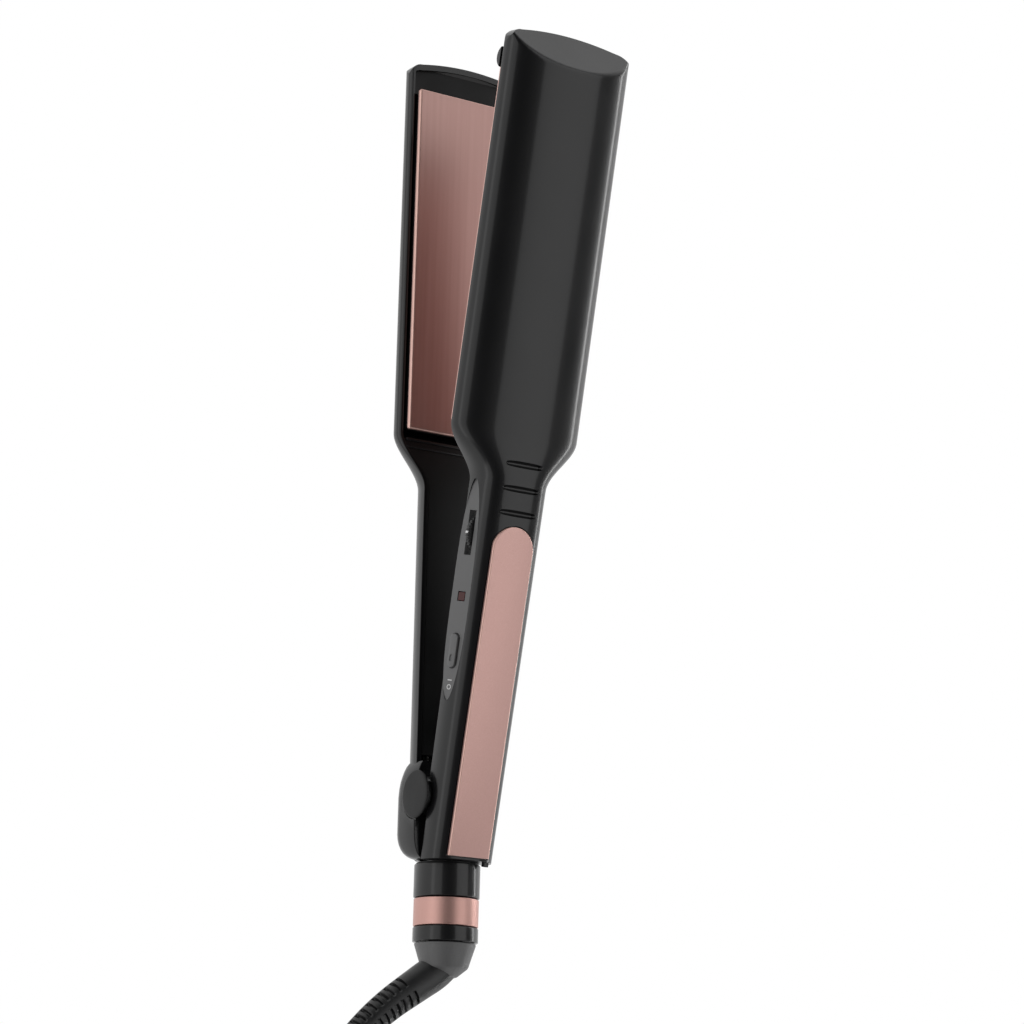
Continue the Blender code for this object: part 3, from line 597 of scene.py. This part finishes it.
def make_looks():
    looks = {}
    for key, (name, colour, roughness, metallic, (scale, detail, low, high)) in LOOKS.items():
        look = new_look(name, colour, roughness, metallic, *COAT.get(key, (0.0, 0.1)))
        vary(look, mapped_noise(look, scale, STRETCH.get(key, (1, 1, 1)), detail), "Roughness", low, high)
        if key in SPECULAR:
            nodes_of(look)[2].inputs["Specular IOR Level"].default_value = SPECULAR[key]
        if key in TINTS:
            scale, detail, stretch, dark, light = TINTS[key]
            vary_colour(look, mapped_noise(look, scale, stretch, detail), dark, light)
        if key in BUMPS:
            scale, detail, strength, distance = BUMPS[key]
            add_bump(look, mapped_noise(look, scale, detail=detail), strength, distance)
        looks[key] = look
    plain = {
        "ceramic": ((0.75, 0.73, 0.67), 0.6, 1200), "mica": ((0.45, 0.37, 0.26), 0.5, 700),
        "silicone": ((0.4, 0.1, 0.06), 0.7, 900), "board": ((0.03, 0.14, 0.06), 0.45, 700),
        "grey": ((0.08, 0.08, 0.085), 0.45, 900), "yellow": ((0.5, 0.4, 0.08), 0.45, 700),
        "sheath": ((0.6, 0.6, 0.57), 0.75, 3000),
    }
    for name, (colour, roughness, scale) in plain.items():
        look = new_look(name, colour, roughness)
        noise = mapped_noise(look, scale, detail=4)
        vary_colour(look, noise, [c * 0.9 for c in colour], [min(1, c * 1.08) for c in colour])
        vary(look, noise, "Roughness", roughness - 0.05, roughness + 0.07)
        looks[name] = look
    return looks


NODE_LOOKS = {
    "ceramic": ["lower_heater", "upper_heater"],
    "mica": ["lower_mica_sheet", "upper_mica_sheet"],
    "silicone": ["lower_plate_pad_1", "lower_plate_pad_2", "upper_plate_pad_1", "upper_plate_pad_2"],
    "steel": ["hinge_pin", "hinge_spring", "hinge_bracket", "thermostat", "lower_screw_1",
              "lower_screw_2", "upper_screw_1", "upper_screw_2"],
    "matte": ["lower_plate_carrier", "upper_plate_carrier", "upper_liner"],
    "board": ["circuit_board"],
    "grey": ["dial_potentiometer", "power_switch"],
    "yellow": ["mains_capacitor"],
    "sheath": ["power_wire_1", "power_wire_2"],
    "red": ["indicator_led"],
    "gloss": ["align_tab_back", "align_tab_front", "hinge_cap_back"],
    "brass": ["plug_blade_a", "plug_blade_b"],
    "rubber": ["cord_tie"],
}


def dress_nodes(looks):
    for look, nodes in NODE_LOOKS.items():
        for node in nodes:
            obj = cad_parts[node]
            for material_slot in obj.material_slots:
                material_slot.material = looks[look]


# ---------- pieces ----------

def make_plates(looks):
    for arm in ("upper", "lower"):
        bm = box_mesh(PLATE_L, (-PLATE_HALF, PLATE_HALF), PLATE_T, 0.6, 5)
        plate = add_piece(f"{arm}_plate_fine", bm, arm, f"{arm}_arm", looks["plate"],
                          f"{arm}_plate", smooth=50)
        # painted highlight on the plate's eased edges and long side walls
        paint_edge_highlights(plate, looks["edge"], sides=True)
        ledge = [(l, w) for l, w in tip_outline(arm == "upper", 1.7) if l > 100 and abs(w) < 25]
        outline = [(209.6, -19.2)] + [(l, max(-19.2, min(19.2, w))) for l, w in ledge] + [(209.6, 19.2)]
        add_piece(f"{arm}_tip_ledge", prism_mesh(outline, 4.3, 4.9), arm, f"{arm}_arm",
                  looks["deep"])


def make_inlay(looks):
    for arm, upper in (("upper", True), ("lower", False)):
        bm = prism_mesh(inlay_outline(), lambda l: crest(l, upper) - 0.95, lambda l: crest(l, upper) + 0.15,
                        0.42, 5)
        inlay = add_piece(f"{arm}_inlay_fine", bm, arm, f"{arm}_arm", looks["rose"],
                          f"{arm}_inlay", smooth=60)
        # painted highlight on the inlay's eased edges
        paint_edge_highlights(inlay, looks["edge"])


def make_liner(looks):
    """The lower handle's inner cover, with its tray and the lips beside the plate."""
    stations = [12 + 2 * i for i in range(40)] + [91.5 + 0.5 * i for i in range(26)]
    side = [(l, half_columns(l, False, True, 4)[6][0] - 0.3) for l in stations]
    outline = side + [(l, -w) for l, w in side[::-1]]
    bm = prism_mesh(outline, 5.0, 3.5)
    cover = add_piece("lower_cover", bm, "lower", "lower_arm", looks["deep"], "lower_liner")
    tray = prism_mesh(pill_outline((28, 88), 7.2, steps=24), 4.3, 0)
    carve(cover, [cutter("tray", tray, "lower")])
    for name, low, high in (("lower_lip_a", 103.2, 104.0), ("lower_lip_b", 101.2, 101.6)):
        bm = box_mesh((low, high), (-18.0, 18.0), (3.0, 3.7), 0.2)
        add_piece(name, bm, "lower", "lower_arm", looks["gloss"])


def make_hub(looks):
    """The knuckle at the lower arm's tail that carries the hinge."""
    rows = []
    for l, half, depth in ((-17.9, 9.5, 6.9), (-17.75, 9.95, 7.7), (-17.3, 10.5, 8.9), (-16.7, 11.0, 10.0),
                           (-15.9, 11.4, 11.0), (-14.8, 11.8, 11.8), (-13.5, 12.1, 12.4), (-12.0, 12.3, 12.8),
                           (-10.5, 12.4, 12.95), (-5.0, 12.4, 13.0), (0.0, 12.4, 13.0), (2.5, 12.25, 12.9),
                           (4.5, 12.0, 12.7), (6.0, 11.7, 12.4), (7.5, 11.3, 12.1), (8.8, 10.8, 11.8),
                           (9.8, 10.2, 11.4)):
        corner = 5.0
        points = [(half - 0.35, 0.3), (half - 0.1, 0.4), (half, 0.7), (half, depth - corner)]
        for i in range(1, 13):
            angle = math.radians(7.5 * i)
            points.append((half - corner + corner * math.cos(angle),
                           depth - corner + corner * math.sin(angle)))
        row = [(l, w, t) for w, t in points] + [(l, -w - 0.5, t) for w, t in points[::-1]]
        rows.append([arm_point(*p) for p in row])
    hub = add_piece("hinge_knuckle", closed_loft(rows), "lower", "lower_arm", looks["gloss"])
    carve(hub, [
        cutter("throat", box_mesh((-16.2, 9.0), (-9.2, 8.0), (-9.0, 9.0)), "lower"),
        cutter("socket", box_mesh((-25, -14), (-6.3, 6.3), (-1.0, 7.4)), "lower"),
        cutter("seat", rod_mesh(CAP_SEAT, (0, -14.4, 0), 4.0), "lower_up"),
        cutter("seat_back", rod_mesh(5.7, (0, 12.6, 0), 6.0), "lower_up"),
    ])
    for name, low, high in (("front", -12.4, -9.2), ("back", 8.0, 9.6)):
        disc = rod_mesh(5.4, (0, (low + high) / 2, 0), high - low)
        add_piece(f"hinge_boss_{name}", disc, "lower_up", "lower_arm", looks["gloss"])
    profile = [(-12.65, 0.0), (-12.65, 6.6), (-12.75, 6.85), (-13.0, 6.9), (-13.2, 6.8), (-13.3, 6.45),
               (-13.34, 5.9), (-13.38, 4.0), (-13.4, 2.0), (-13.4, 0.0)]
    cap = turned_mesh(profile, (0, 0, 0), "Y")
    add_piece("hinge_cap_fine", cap, "lower_up", "lower_arm", looks["deep"], "hinge_cap_front",
              smooth=50)
    foot = box_mesh((-17.85, -15.6), (6.45, 8.05), (8.83, 10.27), 0.2)
    add_piece("tail_foot", foot, "upper", "upper_arm", looks["gloss"])


def make_controls(looks):
    """The control panel on the upper handle's side, its wheel, lamp and button."""
    face = PANEL_FACE
    levels = [(9.9, 0.0), (face - 0.25, 0.0), (face - 0.1, -0.06), (face - 0.02, -0.18), (face, -0.32)]
    panel = add_piece("panel_fine", panel_prism(panel_outline(0.1), levels), "upper", "upper_arm",
                      looks["panel"], "control_panel")
    window = [(55.6, -1.4), (58.4, -1.4), (58.4, 1.4), (55.6, 1.4)]
    carve(panel, [
        cutter("slot", box_mesh((68.8, 81.6), (-16, -6), (4.9, 7.25)), "upper"),
        cutter("window", panel_prism(window, [(5, 0), (16, 0)]), "upper"),
        cutter("hole", panel_prism(pill_outline((36.4, 46.6), 1.65), [(5, 0), (16, 0)]), "upper"),
    ])
    lens = [(55.8, -1.2), (58.2, -1.2), (58.2, 1.2), (55.8, 1.2)]
    add_piece("lens_fine", panel_prism(lens, [(10.0, 0), (face - 0.15, 0), (face - 0.05, -0.1)]), "upper",
              "upper_arm", looks["red"], "indicator_lens")
    button = panel_prism(pill_outline((36.7, 46.3), 1.35),
                         [(9.3, 0), (face + 0.5, 0), (face + 0.7, -0.08), (face + 0.8, -0.3)])
    button = add_piece("button_fine", button, "upper", "button", looks["panel"], "power_button")
    carve(button, [cutter("dimple", panel_prism(pill_outline((38.4, 40.4), 0.55),
                                                [(face + 0.55, 0), (16, 0)]), "upper")])
    teeth = 48
    rows = []
    for t, inset in ((5.25, 0.35), (5.45, 0.0), (6.7, 0.0), (6.9, 0.35)):
        row = []
        for k in range(teeth * 4):
            a = 2 * math.pi * k / (teeth * 4)
            r = (6.88 if k % 4 < 2 else 6.6) - inset
            row.append(Vector((-75.2 + r * math.cos(a), -4.9 + r * math.sin(a), t)))
        rows.append(row)
    add_piece("dial_fine", capped_mesh(rows), "upper", "dial", looks["matte"],
              "temperature_dial")
    mark = box_mesh((74.9, 75.5), (-11.79, -11.2), (5.45, 6.7))
    add_piece("dial_index", mark, "upper", "dial", looks["print"])
    bar = [(33.0, -0.75), (33.3, -0.75), (33.3, 0.75), (33.0, 0.75)]
    add_piece("mark_on", panel_prism(bar, [(face - 0.05, 0), (face + 0.02, 0)]), "upper", "upper_arm",
              looks["print"])
    ring = bmesh.new()
    rows = [[panel_point(31.2 + r * math.cos(math.pi * k / 16), r * math.sin(math.pi * k / 16), d)
             for r, d in ((0.75, face - 0.05), (0.75, face + 0.02), (0.5, face + 0.02), (0.5, face - 0.05))]
            for k in range(33)]
    join_rows(ring, rows)
    bmesh.ops.remove_doubles(ring, verts=ring.verts, dist=0.001)
    bmesh.ops.recalc_face_normals(ring, faces=ring.faces)
    add_piece("mark_off", ring, "upper", "upper_arm", looks["print"])


def make_collar(looks):
    centre = (0, 0, COLLAR_T)
    sleeve = eased([(18.9, 5.2), (18.9, 9.4), (28.3, 9.4), (28.3, 6.8), (40.0, 6.8), (40.0, 5.2)], 0.35)
    add_piece("collar_sleeve_fine", turned_mesh(sleeve, centre), "lower_up", "lower_arm",
              looks["gloss"], "collar_sleeve")
    neck = [(18.5, 5.4), (18.5, 8.9), (19.4, 8.9), (19.4, 5.4)]
    add_piece("collar_neck", turned_mesh(neck, centre), "lower_up", "lower_arm", looks["deep"])
    ring = eased([(28.6, 7.1), (28.6, 9.25), (36.4, 9.25), (36.4, 7.1)], 0.35)
    add_piece("collar_ring_fine", turned_mesh(ring, centre), "lower_up", "lower_arm",
              looks["ring"], "collar_ring")
    end = eased([(36.7, 7.1), (36.7, 9.3), (40.8, 9.3), (40.8, 7.1)], 0.3)
    add_piece("collar_end_fine", turned_mesh(end, centre), "lower_up", "lower_arm",
              looks["gloss"], "collar_end_ring")
    cone = eased([(24.5, 0.0), (24.5, 4.8), (41.1, 4.8), (41.1, 8.85), (47.9, 6.7), (50.5, 3.5), (50.5, 0.0)],
                 0.5, 5)
    add_piece("swivel_fine", turned_mesh(cone, centre), "lower_up", "swivel", looks["grain"],
              "swivel_cone")


RELIEF_ROUTE = [(46.1, 0.1, -3.0), (49.4, -3.1, -3.4), (52.7, -7.5, -4.2), (58.7, -15.5, -5.6),
                (64.6, -21.85, -6.9), (71.5, -27.9, -7.9), (79.0, -32.8, -8.75), (87.0, -35.6, -9.5)]
CORD_ROUTE = [(87.5, -35.75, -9.55), (94.0, -37.1, -9.95), (101.5, -37.4, -10.2), (109.5, -37.2, -10.3)]
TAIL_ROUTE = [(242.1, -37.2, -6.5), (250.0, -36.8, -8.6), (258.0, -35.3, -9.9), (264.5, -34.15, -10.25)]
HANK_Y = -12.9
HANK_FOLDS = (127.3, 224.3)
LAYERS = (3.95 - 13.4, 10.05 - 13.4, 16.15 - 13.4)


def smooth_line(points, spacing):
    points = [Vector(p) for p in points]
    ends = [points[0] * 2 - points[1]] + points + [points[-1] * 2 - points[-2]]
    dense = []
    for i in range(1, len(ends) - 2):
        p0, p1, p2, p3 = ends[i - 1:i + 3]
        for k in range(40):
            u = k / 40
            dense.append(0.5 * (
                2 * p1 + (p2 - p0) * u + (2 * p0 - 5 * p1 + 4 * p2 - p3) * u * u
                + (3 * p1 - p0 - 3 * p2 + p3) * u ** 3
            ))
    dense.append(points[-1])
    total = sum((b - a).length for a, b in zip(dense, dense[1:]))
    count = max(2, round(total / spacing))
    line, walked, target = [dense[0]], 0.0, total / count
    for a, b in zip(dense, dense[1:]):
        step = (b - a).length
        while walked + step >= target - 1e-9 and len(line) < count:
            line.append(a.lerp(b, (target - walked) / step))
            target += total / count
        walked += step
    line.append(dense[-1])
    return line


def round_row(middle, normal, side, radius, sides):
    """A circle of points about a middle, in the plane of two directions."""
    turns = [2 * math.pi * k / sides for k in range(sides)]
    return [middle + (normal * math.cos(a) + side * math.sin(a)) * radius for a in turns]


def sweep_mesh(line, radius, sides):
    """A tube along a line."""
    rows = []
    normal = Vector((0, 0, 1))
    for i, p in enumerate(line):
        a, b = line[max(0, i - 1)], line[min(len(line) - 1, i + 1)]
        tangent = (b - a).normalized()
        normal = (normal - tangent * normal.dot(tangent)).normalized()
        rows.append(round_row(p, normal, tangent.cross(normal), radius, sides))
    return capped_mesh(rows)


def hank_line():
    """The folded length: five flat turns and a last run, stacked three deep and two wide."""
    near, far = HANK_FOLDS
    low, mid, top = LAYERS
    inner, outer = 18.2, 24.3
    states = [(outer, low), (inner, low), (inner, mid), (inner, top), (outer, top), (outer, mid)]
    windows = [(0.72, 1.0), (0.48, 0.76), (0.48, 0.76), (0.24, 0.52), (0.0, 0.28)]
    line = []
    for turn, (radius, level) in enumerate(states):
        for i in range(12):
            line.append((near + (far - near) * i / 12, HANK_Y - radius, level))
        if turn == 5:
            break
        for i in range(12):
            a = math.pi * i / 12
            line.append((far + radius * math.sin(a), HANK_Y - radius * math.cos(a), level))
        next_radius, next_level = states[turn + 1]
        for i in range(18):
            u = i / 18
            w = blend(*windows[turn], u)
            line.append((far + (near - far) * u, HANK_Y + radius + (next_radius - radius) * w,
                         level + (next_level - level) * w))
        for i in range(12):
            a = math.pi * i / 12
            line.append((near - next_radius * math.sin(a), HANK_Y + next_radius * math.cos(a), next_level))
    return line


def make_cord(looks):
    entry = [(115.0, -37.2, -9.9), (121.0, -37.2, -9.6)]
    leaving = [(230.0, -37.2, LAYERS[1] - 0.35), (236.0, -37.2, LAYERS[1] - 1.4)]
    route = CORD_ROUTE + entry + hank_line() + leaving + TAIL_ROUTE
    line = smooth_line(route, 3.0)
    cord = add_piece("cord_fine", sweep_mesh(line, CORD_RADIUS, 20), "lower_up", "lower_arm",
                     looks["rubber"], ["cord", "cord_tail", "cord_hank"])
    relief = make_relief(looks)
    plug = make_plug(looks)
    return cord


def relief_depth(s, turn):
    """Depth of the staggered slots at a distance along the relief and an angle round it."""
    if s < 13.5 or s > 50.0:
        return 0.0
    row = math.floor((turn + 0.5) / (math.pi / 2) + 0.5)
    off = (turn + 0.5) - row * math.pi / 2
    across = min(1.0, max(0.0, (0.56 - abs(off)) / 0.09))
    place = (s / 2.15 + 0.5 * (row % 2)) % 1.0
    along = min(1.0, max(0.0, (0.23 - abs(place - 0.5)) / 0.06))
    return 0.95 * across * along


def make_relief(looks):
    """The strain relief: a tapered tube with staggered slots round it, round at its start."""
    line = smooth_line(RELIEF_ROUTE, 0.22)
    first, ahead = line[0], (line[1] - line[0]).normalized()
    rows = []
    normal = Vector((0, 0, 1))
    normal = (normal - ahead * normal.dot(ahead)).normalized()
    side = ahead.cross(normal)
    sides = 96
    for i in range(1, 9):
        a = math.pi / 2 * i / 9
        middle = first - ahead * RELIEF_RADIUS * math.cos(a)
        rows.append(round_row(middle, normal, side, RELIEF_RADIUS * math.sin(a), sides))
    walked = 0.0
    for i, p in enumerate(line):
        a, b = line[max(0, i - 1)], line[min(len(line) - 1, i + 1)]
        tangent = (b - a).normalized()
        normal = (normal - tangent * normal.dot(tangent)).normalized()
        side = tangent.cross(normal)
        if i:
            walked += (p - line[i - 1]).length
        row = []
        for k in range(sides):
            turn = 2 * math.pi * k / sides
            r = RELIEF_RADIUS - RELIEF_TAPER * walked - relief_depth(walked, turn)
            row.append(p + (normal * math.cos(turn) + side * math.sin(turn)) * r)
        rows.append(row)
    return add_piece("strain_relief_fine", capped_mesh(rows), "lower_up", "swivel",
                     looks["rubber"], "strain_relief", smooth=50)


def make_plug(looks):
    body = box_mesh((-301, -265.3), (-44.6, -23.6), (-13.4, 1.6), 3.2, 6)
    return add_piece("plug_fine", body, "lower_up", "lower_arm", looks["rubber"], "plug_body")


# ---------- floor and light ----------

def make_stage():
    bpy.ops.mesh.primitive_plane_add(size=6, location=(0, 0, -0.0002))
    floor = bpy.context.object
    floor.name = "floor"
    look = bpy.data.materials.new("floor_white")
    look.use_nodes = True
    nodes, links = look.node_tree.nodes, look.node_tree.links
    nodes.clear()
    glow = nodes.new("ShaderNodeEmission")
    glow.inputs["Color"].default_value = (1, 1, 1, 1)
    glow.inputs["Strength"].default_value = 1.0
    output = nodes.new("ShaderNodeOutputMaterial")
    links.new(glow.outputs["Emission"], output.inputs["Surface"])
    floor.data.materials.append(look)
    world = bpy.data.worlds.new("studio")
    world.use_nodes = True
    nodes, links = world.node_tree.nodes, world.node_tree.links
    direction = nodes.new("ShaderNodeTexCoord")
    height = nodes.new("ShaderNodeSeparateXYZ")
    links.new(direction.outputs["Generated"], height.inputs["Vector"])
    walls = nodes.new("ShaderNodeMapRange")
    walls.interpolation_type = "SMOOTHSTEP"
    walls.inputs["From Min"].default_value = 0.19
    walls.inputs["From Max"].default_value = 0.3
    walls.inputs["To Min"].default_value = 0.95
    walls.inputs["To Max"].default_value = 0.02
    links.new(height.outputs["Z"], walls.inputs["Value"])
    links.new(walls.outputs["Result"], nodes["Background"].inputs["Color"])
    nodes["Background"].inputs["Strength"].default_value = 1.0
    bpy.context.scene.world = world


def area_light(name, place, target, size, power):
    data = bpy.data.lights.new(name, "AREA")
    data.shape = "RECTANGLE"
    data.size, data.size_y = size
    data.energy = power
    light = bpy.data.objects.new(name, data)
    light.location = place
    aim = Vector(target) - Vector(place)
    light.rotation_euler = aim.to_track_quat("-Z", "Y").to_euler()
    bpy.context.scene.collection.objects.link(light)


def make_lights():
    area_light("overhead", (0.15, 0.5, 1.1), (0.15, 0, 0.03), (3.0, 0.95), 11.5)
    area_light("left", (0.0, -1.0, 0.42), (0, 0, 0.03), (2.0, 0.75), 4.8)
    area_light("right", (0.0, 1.1, 0.16), (0, 0, 0.03), (2.4, 0.1), 5.5)
    area_light("beyond", (-1.1, 0.72, 0.45), (0, 0, 0.03), (0.9, 0.5), 0.8)


def main():
    bpy.context.scene.view_settings.view_transform = "Standard"
    make_camera()
    looks = make_looks()
    make_cord(looks)
    dress_nodes(looks)
    make_casing(True, looks["gloss"])
    make_casing(False, looks["gloss"])
    make_plates(looks)
    make_inlay(looks)
    make_liner(looks)
    make_hub(looks)
    make_controls(looks)
    make_collar(looks)
    make_stage()
    make_lights()


main()
